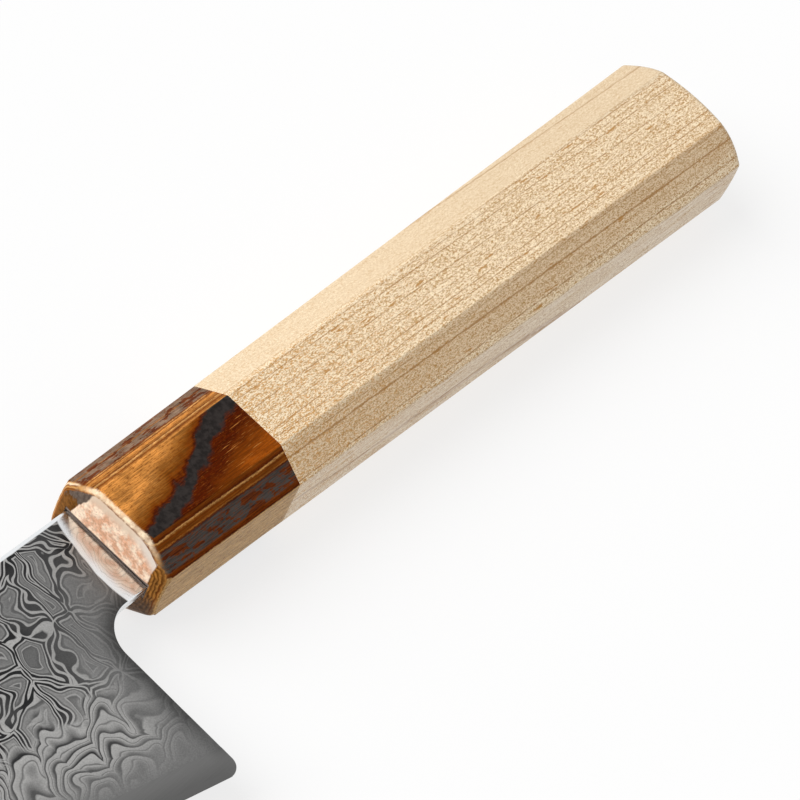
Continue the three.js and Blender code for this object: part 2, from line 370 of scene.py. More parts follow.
# Sides from the seam to the dome, dome as a blend from the octagon to the slot's mouth, inside, and the
# seam face that closes the ring of rings.
def makeFerrule():
    turn = np.linspace(0, math.pi / 2, handle["seamRings"])
    easeX = joint["seam"] + handle["seamRound"] * (1 - np.cos(turn))
    easeInset = handle["seamRound"] * (1 - np.sin(turn))
    sideX = stepsTo(easeX[-1], -front["domeLength"], front["sideRings"])
    sideInset = np.concatenate([easeInset, np.zeros_like(sideX)])
    sides = octagonRings(np.concatenate([easeX, sideX]), sideInset)
    own = np.unwrap(np.arctan2(sides[-1, :, 2], sides[-1, :, 1]))
    slots = mouthSlot(), neckSlot(front["sealGap"]), neckSlot(joint["slotGap"]), tangSlot(slotFloor)
    corners = [cornerAngles(*slot) for slot in slots]
    angles = own[0] + np.sort(np.mod(np.concatenate([own, *corners]) - own[0], 2 * math.pi))
    sides = np.stack([ringAtAngles(ring, angles) for ring in sides])
    outlines = [slotOutline(angles, *sizes) for sizes in slots]
    mouthY, mouthZ = outlines[0]
    share = stepsTo(0, 1, front["domeRings"])[:, None] ** 2
    domeY = lerp(sides[-1, :, 1], mouthY, share)
    domeZ = lerp(sides[-1, :, 2], mouthZ, share)
    dome = np.stack([domeX(domeY, domeZ), domeY, domeZ], axis=-1)
    inside = ferruleInside(angles, *outlines)
    rim = np.concatenate([
        np.zeros(sides.shape[:2]),
        frontInset(domeY, domeZ),
        np.full(inside.shape[:2], front["noRim"]),
    ])
    grid = np.concatenate([sides, dome, inside])
    piece = makePiece("dyed_ferrule", grid, "ferrule", closeRings=True, marks={"rim": rim})
    evenShading(piece)
    return piece


dyedFerrule = makeFerrule()


# Hidden dowel: a round bar from ferrule to handle with a tapered slot for the tang, as four rings.
def makeDowel():
    nearSlot, farSlot = tangSlot(joint["dowelFront"]), tangSlot(joint["dowelEnd"])
    even = np.linspace(0, 2 * math.pi, joint["dowelColumns"], endpoint=False)
    angles = np.concatenate([even, cornerAngles(*nearSlot), cornerAngles(*farSlot)])
    angles = np.sort(np.mod(angles, 2 * math.pi))
    grid = np.stack([
        circleAt(joint["dowelEnd"], angles, joint["dowelRadius"]),
        circleAt(joint["dowelFront"], angles, joint["dowelRadius"]),
        ringOf(joint["dowelFront"], *slotOutline(angles, *nearSlot)),
        ringOf(joint["dowelEnd"], *slotOutline(angles, *farSlot)),
    ])
    return makePiece("hidden_dowel", grid, "dowel", closeRings=True)


hiddenDowel = makeDowel()


# Laminated blade

blade = {
    "spineY": joint["spineY"],
    "pointX": fromFront(coreHigh.x),
    "pointDepth": 1.0,
    "leastHeight": 1e-4,
    "coreHalf": 0.3,
    "spineHalf": joint["bladeHalf"],  # half thickness at the spine by the neck
    "pointHalf": 0.5,
    "shoulderHalf": 0.2,
    "grindPower": 1.6,
    "bevelWidth": 0.9,
    "spineRound": 0.7,
    "pointSlope": math.tan(math.radians(3)),
    "heelSetback": 8.8,
    "heelDepth": 32.3,
    "heelRadius": 1.7,
    "choilRadius": 5.2,
    "edgeAngle": math.radians(11.5),
    "bellyPower": 2.4,
    "spineFall": 60.0,
    "mostShare": 0.25,  # most of a height that round spine, bevel or eased border takes
    "borderZone": 0.48,  # points stand closer together over this width
    "borderRound": 0.12,  # eased border of neck, choil and heel
    "borderShare": 0.6,  # most of the cladding's thickness that the ease takes
    "leastEase": 1e-5,
    "tipSearch": 20.0,  # length at the point in which the cladding ends
    "tipSteps": 4000,
    "faceSteps": 64,
    "spineSteps": 12,
    "borderSteps": 9,
}
edgeLength = blade["pointX"] - blade["heelSetback"]
cornerX = blade["heelSetback"] + blade["heelRadius"]
cornerRise = blade["heelRadius"] * (1 + math.sin(blade["edgeAngle"])) / math.cos(blade["edgeAngle"])
cornerY = blade["heelDepth"] - cornerRise
choilX = blade["heelSetback"] - blade["choilRadius"]
choilY = joint["neckY"] + blade["choilRadius"]


# Straight spine, then a parabola down to the point.
def spineAt(x):
    along = np.maximum(0, (x - blade["pointX"] + blade["spineFall"]) / blade["spineFall"])
    return blade["spineY"] + (blade["pointDepth"] - blade["spineY"]) * along ** 2


# Sloping straight edge minus a power curve that sweeps it up to the point.
def edgeAt(x):
    along = np.maximum(0, (x - blade["heelSetback"]) / edgeLength)
    drop = edgeLength * math.tan(blade["edgeAngle"])
    sweep = blade["heelDepth"] - drop - blade["pointDepth"]
    return blade["heelDepth"] - drop * along - sweep * along ** blade["bellyPower"]


# Spine line, height, half thickness, spine radius, bevel and shoulder of the section at x.
def sectionSizes(x):
    x = np.clip(x, blade["heelSetback"], blade["pointX"])
    top = spineAt(x)
    height = np.maximum(edgeAt(x) - top, blade["leastHeight"])
    along = (x - blade["heelSetback"]) / edgeLength
    taper = lerp(blade["spineHalf"], blade["pointHalf"], along)
    half = np.minimum(taper, blade["shoulderHalf"] + height * blade["pointSlope"])
    most = height * blade["mostShare"]
    return SimpleNamespace(
        top=top,
        height=height,
        half=half,
        spineRound=np.minimum(np.minimum(blade["spineRound"], half), most),
        bevel=np.minimum(blade["bevelWidth"], most),
        shoulder=np.minimum(blade["shoulderHalf"], half),
    )


# Half thickness at (x, y): a convex power curve from the spine to the shoulder, less a quarter round
# at the spine, and a straight bevel below the shoulder.
def halfAt(x, y):
    at = sectionSizes(x)
    depth = y - at.top
    down = np.clip((depth - at.spineRound) / (at.height - at.bevel - at.spineRound), 0, 1)
    face = at.shoulder + (at.half - at.shoulder) * (1 - down ** blade["grindPower"])
    face = face - at.spineRound * quarterDrop(1 - depth / at.spineRound)
    wedge = at.shoulder * np.clip((at.height - depth) / at.bevel, 0, None)
    return np.where(depth < at.height - at.bevel, face, np.minimum(face, wedge))


# Distance in from the border that neck, choil arc, heel line and heel corner make.
def borderDistance(x, y):
    arc = np.hypot(x - choilX, y - choilY) - blade["choilRadius"]
    corner = blade["heelRadius"] - np.hypot(x - cornerX, y - cornerY)
    heel = np.where((x < cornerX) & (y > cornerY), corner, x - blade["heelSetback"])
    return np.where(x <= choilX, joint["neckY"] - y, np.where(y >= choilY, heel, arc))


# Where the core comes out of the cladding, towards the edge and towards the spine.
def coreLine(x):
    at = sectionSizes(x)
    left = np.clip((at.half - blade["coreHalf"]) / np.maximum(at.half - at.shoulder, tiny), 0, 1)
    ground = at.height - at.bevel - at.spineRound
    return at.top + at.spineRound + ground * left ** (1 / blade["grindPower"])


def claddingTop(x):
    at = sectionSizes(x)
    return at.top + at.spineRound * quarterDrop(1 - (at.half - blade["coreHalf"]) / at.spineRound)


# How far along the spine the lines that start at the neck, choil, heel and heel corner end, and how
# many lines start at each stretch of the lower border.
fan = {
    "neckShare": 0.8,
    "choil": 8.0,
    "heel": 26.0,
    "corner": 28.0,
    "stepLength": 0.1,  # from the tang to the neck
    "tangLines": 24,
    "stepLines": 5,
    "neckLines": 28,
    "choilLines": 32,
    "heelLines": 74,
    "cornerLines": 16,
    "edgeLines": 260,
}


# Lines from the spine border to the lower border. The lower border runs along tang, step, neck, choil
# arc and heel line to the edge, and the spine border keeps pace, so the lines fan out at the heel.
def bladeBorders(upperLine, lowerLine, lastX, heelEnd, rounded):
    neckEnd = -joint["neckDepth"]
    tangX = np.linspace(joint["tangEnd"], neckEnd, fan["tangLines"])
    tangHalf = tangHalfAt(tangX)
    step = stepsTo(0, 1, fan["stepLines"])
    neckStart = neckEnd + fan["stepLength"]
    neckX = stepsTo(neckStart, choilX, fan["neckLines"])
    arc = stepsTo(-math.pi / 2, 0, fan["choilLines"])
    arcRadius = blade["choilRadius"]
    heelY = stepsTo(choilY, heelEnd, fan["heelLines"])
    lower = [
        np.stack([tangX, tangHalf]),
        np.stack([lerp(neckEnd, neckStart, step), lerp(tangHalf[-1], joint["neckY"], step)]),
        np.stack([neckX, np.full_like(neckX, joint["neckY"])]),
        np.stack([choilX + arcRadius * np.cos(arc), choilY + arcRadius * np.sin(arc)]),
        np.stack([np.full_like(heelY, blade["heelSetback"]), heelY]),
    ]
    upperX = [neckX[0] + (neckX - neckX[0]) * fan["neckShare"]]
    upperX.append(stepsTo(upperX[-1][-1], fan["choil"], fan["choilLines"]))
    upperX.append(stepsTo(fan["choil"], fan["heel"], fan["heelLines"]))
    edgeStart = blade["heelSetback"]
    if rounded:
        turn = stepsTo(math.pi, math.pi / 2 - blade["edgeAngle"], fan["cornerLines"])
        roundX = cornerX + blade["heelRadius"] * np.cos(turn)
        lower.append(np.stack([roundX, cornerY + blade["heelRadius"] * np.sin(turn)]))
        upperX.append(stepsTo(fan["heel"], fan["corner"], fan["cornerLines"]))
        edgeStart = roundX[-1]
    run = stepsTo(0, 1, fan["edgeLines"])
    edgeX = lerp(edgeStart, lastX, run)
    lower.append(np.stack([edgeX, lowerLine(edgeX)]))
    upperX.append(lerp(upperX[-1][-1], lastX, run))
    upperX = np.concatenate(upperX)
    upper = [
        np.stack([tangX, -tangHalf]),
        np.stack([lerp(neckEnd, neckStart, step), lerp(-tangHalf[-1], blade["spineY"], step)]),
        np.stack([upperX, upperLine(upperX)]),
    ]
    return np.concatenate(upper, axis=1).T, np.concatenate(lower, axis=1).T


# Points on those lines, close together over the round spine and the eased border.
def bladeStations(upper, lower):
    length = np.maximum(np.linalg.norm(lower - upper, axis=1), tiny)[:, None]
    spineShare = np.minimum(blade["spineRound"] / length, blade["mostShare"])
    borderShare = np.minimum(blade["borderZone"] / length, blade["mostShare"])
    near = 1 - np.cos(np.linspace(0, math.pi / 2, blade["spineSteps"]))
    far = np.sin(np.linspace(0, math.pi / 2, blade["borderSteps"]))
    share = np.concatenate([
        spineShare * near,
        lerp(spineShare, 1 - borderShare, stepsBetween(blade["faceSteps"])),
        lerp(1 - borderShare, np.ones_like(length), far),
    ], axis=1)[..., None]
    return lerp(upper[:, None], lower[:, None], share)


# A layer of the blade: near side, far side whose marks are those of the near side's given columns, and a
# first ring that closes the tang's end.
def makeLayer(name, node, near, far, marks, farColumns):
    grid = np.concatenate([near, far], axis=1)
    cap = np.broadcast_to(grid[:1].mean(axis=1, keepdims=True), grid[:1].shape)
    grid = np.concatenate([cap, grid])
    for key, value in marks.items():
        value = np.concatenate([value, value[:, farColumns]], axis=1)
        marks[key] = np.concatenate([value[:1], value])
    return makePiece(name, grid, node, marks=marks)


# Cladding: outer face on the grind with an eased border, and a flat back on the core.
def makeCladding(name, node, side):
    dense = np.linspace(blade["pointX"] - blade["tipSearch"], blade["pointX"], blade["tipSteps"])
    lastX = dense[sectionSizes(dense).half > blade["coreHalf"]].max()
    heelEnd = float(coreLine(np.array([blade["heelSetback"]]))[0])
    plan = bladeStations(*bladeBorders(claddingTop, coreLine, lastX, heelEnd, False))
    x, y = plan[..., 0], plan[..., 1]
    face = np.maximum(halfAt(x, y), blade["coreHalf"])
    border = borderDistance(x, y)
    radius = blade["borderShare"] * (face - blade["coreHalf"])
    radius = np.clip(radius, blade["leastEase"], blade["borderRound"])
    face = face - radius * quarterDrop(1 - border / radius)
    outer = np.stack([x, y, face], axis=-1)
    ends = [-1, 0]
    back = outer[:, ends]
    back[..., 2] = blade["coreHalf"]
    marks = {"border": border, "spine": y - sectionSizes(x).top, "cover": face - blade["coreHalf"]}
    mirror = np.array([1.0, 1.0, side])
    return makeLayer(name, node, outer * mirror, back * mirror, marks, ends)


# Core: both faces at half its thickness, down to the grind and the edge bevel where the cladding ends.
def makeCore():
    plan = bladeStations(*bladeBorders(spineAt, edgeAt, blade["pointX"], cornerY, True))
    x, y = plan[..., 0], plan[..., 1]
    left = np.stack([x, y, np.minimum(halfAt(x, y), blade["coreHalf"])], axis=-1)
    backwards = slice(None, None, -1)
    right = left[:, backwards] * np.array([1.0, 1.0, -1.0])
    section = sectionSizes(x)
    marks = {"toEdge": section.top + section.height - y, "border": borderDistance(x, y)}
    return makeLayer("hard_steel_core", "blade_core", left, right, marks, backwards)


claddingLeft = makeCladding("patterned_cladding_left", "cladding_left", 1)
claddingRight = makeCladding("patterned_cladding_right", "cladding_right", -1)
hardCore = makeCore()


# Node helpers

# A socket that can be added, subtracted, multiplied and divided, each by a Math node in its own tree.
class Field:
    def __init__(self, socket):
        self.socket = socket
        self.tree = socket.id_data

    def __add__(self, other):
        return calc("ADD", self, other)

    def __sub__(self, other):
        return calc("SUBTRACT", self, other)

    def __rsub__(self, other):
        return calc("SUBTRACT", other, self)

    def __mul__(self, other):
        return calc("MULTIPLY", self, other)

    def __truediv__(self, other):
        return calc("DIVIDE", self, other)

    def __abs__(self):
        return calc("ABSOLUTE", self)


def fieldOf(node, key=0):
    return Field(node.outputs[key])


def fieldsOf(node):
    return [Field(socket) for socket in node.outputs]


def treeOf(*values):
    return next(value.tree for value in values if isinstance(value, Field))


def plug(node, key, value):
    if isinstance(value, Field):
        value.tree.links.new(value.socket, node.inputs[key])
    else:
        node.inputs[key].default_value = value


def addNode(tree, kind, sockets=None, **settings):
    made = tree.nodes.new("ShaderNode" + kind)
    for key, value in settings.items():
        setattr(made, key, value)
    for key, value in (sockets or {}).items():
        plug(made, key, value)
    return made


def calc(operation, first, second=0.0):
    return fieldOf(addNode(treeOf(first, second), "Math", {0: first, 1: second}, operation=operation))


def maximum(first, second):
    return calc("MAXIMUM", first, second)


# Share of the way through the repeat of this length that a value lies in.
def repeatShare(value, length):
    return calc("FRACT", value / length)


# Smooth step along a curve: start, end and the values there, which are 0 and 1 if the curve has none.
def ease(value, curve, kind="SMOOTHSTEP"):
    sockets = dict(zip(("From Min", "From Max", "To Min", "To Max"), curve))
    return fieldOf(addNode(value.tree, "MapRange", {"Value": value, **sockets}, interpolation_type=kind))


# The same as a straight line, and as a smooth step from 1 down to 0.
def slide(value, curve):
    return ease(value, curve, "LINEAR")


def fade(value, span):
    return ease(value, (*span, 1.0, 0.0))


# Step up or down at a place, soft by this much to both sides.
def stepUp(value, place, soft):
    return ease(value, (place - soft, place + soft))


def stepDown(value, place, soft):
    return fade(value, (place - soft, place + soft))


# How far a 0 to 1 value lies from its middle, times amount, and the sum of that for some named fields.
def swing(value, amount):
    return slide(value, (0.0, 1.0, -amount / 2, amount / 2))


def swings(at, amounts):
    parts = [swing(vars(at)[name], amount) for name, amount in amounts.items()]
    return sum(parts[1:], parts[0])


def opaque(colour):
    return (*colour, 1.0) if isinstance(colour, tuple) else colour


def mixColour(factor, first, second):
    sockets = {0: factor, 6: opaque(first), 7: opaque(second)}
    return fieldOf(addNode(factor.tree, "Mix", sockets, data_type="RGBA"), 2)


def mixValue(factor, first, second):
    return fieldOf(addNode(factor.tree, "Mix", {0: factor, 2: first, 3: second}))


def shadeColour(colour, amount):
    sockets = {0: colour, "Scale": amount}
    return fieldOf(addNode(treeOf(colour, amount), "VectorMath", sockets, operation="SCALE"))


# Colour ramp whose stops stand at values, often millimetres, between the first and the last.
def rampAlong(value, stops):
    low, high = stops[0][0], stops[-1][0]
    made = addNode(value.tree, "ValToRGB", {"Fac": slide(value, (low, high))})
    elements = made.color_ramp.elements
    while len(elements) < len(stops):
        elements.new(1.0)
    for element, (place, colour) in zip(elements, stops):
        element.position = (place - low) / (high - low)
        element.color = opaque(colour)
    return fieldOf(made, "Color")


def vectorCalc(operation, vector, other=(0.0, 0.0, 0.0), output="Vector"):
    made = addNode(vector.tree, "VectorMath", {0: vector, 1: other}, operation=operation)
    return fieldOf(made, output)


def dotWith(vector, direction):
    return vectorCalc("DOT_PRODUCT", vector, direction, "Value")


def splitVector(vector):
    return fieldsOf(addNode(vector.tree, "SeparateXYZ", {0: vector}))


def splitColour(colour):
    return fieldsOf(addNode(colour.tree, "SeparateColor", {0: colour}))


def noise(vector, scale, detail=2.0, roughness=0.5, output="Fac"):
    sockets = {"Vector": vector, "Scale": scale, "Detail": detail, "Roughness": roughness}
    return fieldOf(addNode(vector.tree, "TexNoise", sockets), output)


# A number that the piece's mesh carries at each of its points.
def markValue(tree, name):
    return fieldOf(addNode(tree, "Attribute", attribute_name=name), "Fac")


# Object coordinates in millimetres from the ferrule's front face, handle axis and blade plane.
def knifeCoordinates(tree, shift=(0.0, 0.0, 0.0)):
    source = fieldOf(addNode(tree, "TexCoord"), "Object")
    location = tuple(-knifeOrigin / mm + np.array(shift))
    sockets = {"Vector": source, "Location": location, "Scale": (1 / mm,) * 3}
    return fieldOf(addNode(tree, "Mapping", sockets))


def bumpNormal(height, strength, depth, normal=None):
    sockets = {"Height": height, "Strength": strength, "Distance": depth * mm}
    if normal:
        sockets["Normal"] = normal
    return fieldOf(addNode(height.tree, "Bump", sockets))


# Shared effects

fibreNoise = (1.0, 3.0, 0.6)  # scale, detail and roughness
handling = {
    "smudge": (0.12, 3.0, 0.6),
    "speck": (2.2,),
    "smudgeShare": 0.65,
    "range": (0.35, 0.65),
}


# A group that takes a vector and some numbers, and puts out one value.
def startGroup(name, numbers, output):
    group = bpy.data.node_groups.new(name, "ShaderNodeTree")
    group.interface.new_socket("Vector", in_out="INPUT", socket_type="NodeSocketVector")
    for label in numbers:
        group.interface.new_socket(label, in_out="INPUT", socket_type="NodeSocketFloat")
    group.interface.new_socket(output, in_out="OUTPUT", socket_type="NodeSocketFloat")
    given = fieldsOf(group.nodes.new("NodeGroupInput"))[:len(numbers) + 1]
    return group, given, group.nodes.new("NodeGroupOutput")


def placeGroup(group, vector, numbers):
    made = addNode(vector.tree, "Group", node_tree=group)
    for key, value in enumerate((vector, *numbers)):
        plug(made, key, value)
    return fieldOf(made)


# Fibres: noise drawn out along x, its middle stretched by the contrast.
def makeFibreGroup():
    group, given, leave = startGroup("woodFibres", ("Length", "Width", "Contrast"), "Fibre")
    vector, length, width, contrast = given
    cell = fieldOf(addNode(group, "CombineXYZ", {0: length, 1: width, 2: width}))
    spread = (noise(vectorCalc("DIVIDE", vector, cell), *fibreNoise) - 0.5) * contrast
    fibre = addNode(group, "Math", {0: spread, 1: 0.5}, operation="ADD", use_clamp=True)
    plug(leave, "Fibre", fieldOf(fibre))
    return group


# Handling: soft smudges and fine specks that change the gloss.
def makeHandlingGroup():
    group, (vector, smooth, dull), leave = startGroup("handlingGloss", ("Smooth", "Dull"), "Roughness")
    smudge = noise(vector, *handling["smudge"]) * handling["smudgeShare"]
    speck = noise(vector, *handling["speck"]) * (1 - handling["smudgeShare"])
    plug(leave, "Roughness", slide(smudge + speck, (*handling["range"], smooth, dull)))
    return group


woodFibres = makeFibreGroup()
handlingGloss = makeHandlingGroup()
print("shared effects ready")

# A look holds a material's colours, its seed, gloss (smoothest and dullest), bump (strength, and depth
# in millimetres), grain (length, width and contrast of each kind of fibre), noises (scale, detail and
# roughness), marks of the mesh, shader values, and the curves that ease or fade its colours.


# A material under way, with the place moved by the look's seed and each fibre, noise and mark by name.
def startMaterial(name, look):
    material = bpy.data.materials.new(name)
    material.use_nodes = True
    tree = material.node_tree
    here = knifeCoordinates(tree, look["seed"])
    at = SimpleNamespace(material=material, tree=tree, look=look, here=here)
    for label, sizes in look.get("grain", {}).items():
        setattr(at, label, placeGroup(woodFibres, here, sizes))
    for label, sizes in look.get("noises", {}).items():
        setattr(at, label, noise(here, *sizes))
    for label in look.get("marks", ()):
        setattr(at, label, markValue(tree, label))
    return at


# Adds where a point of the knife lies.
def addPlace(at):
    at.place = knifeCoordinates(at.tree)
    at.ahead, at.down, at.upper = splitVector(at.place)


def handled(at):
    return placeGroup(handlingGloss, at.here, at.look["gloss"])


def finishMaterial(at, colour, rough, height, slope=None):
    shader = at.tree.nodes["Principled BSDF"]
    plug(shader, "Base Color", colour)
    plug(shader, "Roughness", rough)
    plug(shader, "Normal", bumpNormal(height, *at.look["bump"], slope))
    for label, number in at.look.get("shader", {}).items():
        plug(shader, label, number)
    return at.material


def giveMaterial(piece, material):
    piece.data.materials.clear()
    piece.data.materials.append(material)
    print("finish", material.name, "on", piece.name)


# Thin satin lacquer: almost no shine seen from above, a pale sheen at a low angle.
lacquer = {
    "Specular IOR Level": 0.0,
    "Coat Weight": 1.0,
    "Coat IOR": 1.08,
    "Coat Roughness": 0.16,
}


# Maple: growth layers stand across the handle's height, so side flats and chamfers show fine lines
# along the handle. Short dark pores speckle all but the spine chamfer.
mapleLook = {
    "pale": (1.0, 0.84, 0.61),
    "tan": (0.5, 0.28, 0.098),
    "orange": (0.56, 0.27, 0.07),
    "stain": (0.66, 0.33, 0.09),
    # the next colour is a painted low-angle sheen on the edge flat, not the wood's own colour
    "paintedSheen": (1.0, 0.89, 0.77),
    "line": (0.36, 0.155, 0.034),
    "fleck": (0.5, 0.24, 0.06),
    "seed": (13.0, 4.0, 2.0),
    "gloss": (0.4, 0.55),
    "bump": (0.2, 0.05),
    "shader": lacquer,
    "grain": {
        "pores": (0.28, 0.115, 3.6),
        "streak": (9.0, 0.22, 2.8),
        "dashes": (1.6, 0.3, 3.0),
        "rays": (0.5, 0.35, 2.6),
        "stains": (0.45, 0.18, 3.0),
        "patches": (4.2, 0.7, 2.0),
    },
    "speckle": {"pores": 1.6, "streak": 0.45, "rays": 0.5},  # how much each changes the tone
    "spineRidge": (-5.9, -4.7),
    "spineSpeckle": (0.0, 1.0, 0.32, 1.0),
    "spineLines": (0.0, 1.0, 0.2, 1.0),
    "spinePaintedShade": (-105.0, -40.0, 0.86, 0.95),  # painted shade, darker to the butt
    "edgeRidge": (4.9, 5.6),
    "edgeChamferEnd": (8.8, 9.4, 0.2, 0.0),
    "edgeFlatSlope": (0.0175, 1.0, 0.0),
    "edgeFlat": (8.85, 8.97),
    "edgeFlatSheenStreaks": (0.25, 0.75, 0.05, 0.45),
    "toneAlong": (-70.0, -26.0, 0.64, 0.7),
    "stainShare": (0.54, 0.84),
    "stainAlong": (-75.0, -28.0, 0.15, 0.85),
    "fleckShare": (0.8, 0.87, 0.0, 0.85),
    "layerGap": 1.1,
    "layerNormal": (0.006, 1.0, 0.1),
    "layerBend": (0.018, 0.1, 0.16),
    "layerWander": 1.2,
    "linePlace": (0.0, 1.0, 0.2, 0.8),
    "lineWidth": (0.022, 0.1),
    "lineStrength": (0.2, 0.9, 0.12, 0.8),
    "lineDashes": (0.3, 0.6, 0.4, 1.0),
    "darkLayers": [
        # direction across the layer, place along it and strength, on the edge and the spine chamfer
        ((0.0143, 1.0, 0.0), 5.98, 0.75),
        ((0.026, 1.0, 0.0), -12.02, 0.5),
    ],
    "darkWidth": (0.02, 0.17),
    "darkWander": 0.14,
}


# Growth layers, each with one thin line at a place and of a strength of its own, and the dark layers.
def growthLines(at, offSpine):
    look = at.look
    bend = noise(vectorCalc("MULTIPLY", at.here, look["layerBend"]), 1.0)
    across = dotWith(at.place, look["layerNormal"]) + swing(bend, look["layerWander"])
    number = calc("FLOOR", across / look["layerGap"])
    value, colour = fieldsOf(addNode(at.tree, "TexWhiteNoise", {"W": number}, noise_dimensions="1D"))
    offset = abs(repeatShare(across, look["layerGap"]) - slide(value, look["linePlace"]))
    line = fade(offset * look["layerGap"], look["lineWidth"])
    line = line * ease(splitColour(colour)[2], look["lineStrength"])
    line = line * ease(at.dashes, look["lineDashes"]) * ease(offSpine, look["spineLines"])
    for normal, place, strength in look["darkLayers"]:
        apart = abs(dotWith(at.place, normal) - place + swing(at.dashes, look["darkWander"]))
        line = maximum(line, ease(apart, (*look["darkWidth"], strength, 0.0)))
    return line


def makeMaple():
    look = mapleLook
    at = startMaterial("satin_maple", look)
    addPlace(at)
    offSpine = ease(at.down, look["spineRidge"])
    calm = slide(offSpine, look["spineSpeckle"])
    tone = swings(at, look["speckle"]) * calm + ease(at.ahead, look["toneAlong"])
    wood = mixColour(slide(tone, (0.0, 1.0)), look["tan"], look["pale"])
    warm = ease(at.stains, look["stainShare"]) * calm * ease(at.ahead, look["stainAlong"])
    wood = mixColour(warm, wood, look["stain"])
    line = growthLines(at, offSpine)
    wood = mixColour(line, wood, look["line"])
    wood = mixColour(ease(at.patches, look["fleckShare"]) * calm, wood, look["fleck"])
    # Painted shade darkens the spine chamfer to the butt; edge chamfer warmer; painted sheen pales the
    # edge flat.
    shade = mixValue(ease(offSpine, (0.0, 1.0)), ease(at.ahead, look["spinePaintedShade"]), 1.0)
    wood = shadeColour(wood, shade)
    edgeChamfer = ease(at.down, look["edgeRidge"]) * ease(at.down, look["edgeChamferEnd"])
    wood = mixColour(edgeChamfer, wood, look["orange"])
    # Painted sheen: the edge flat is paled in streaks.
    edgeFlat = ease(dotWith(at.place, look["edgeFlatSlope"]), look["edgeFlat"])
    wood = mixColour(edgeFlat * ease(at.streak, look["edgeFlatSheenStreaks"]), wood, look["paintedSheen"])
    return finishMaterial(at, wood, handled(at), tone - line)


giveMaterial(mapleHandle, makeMaple())


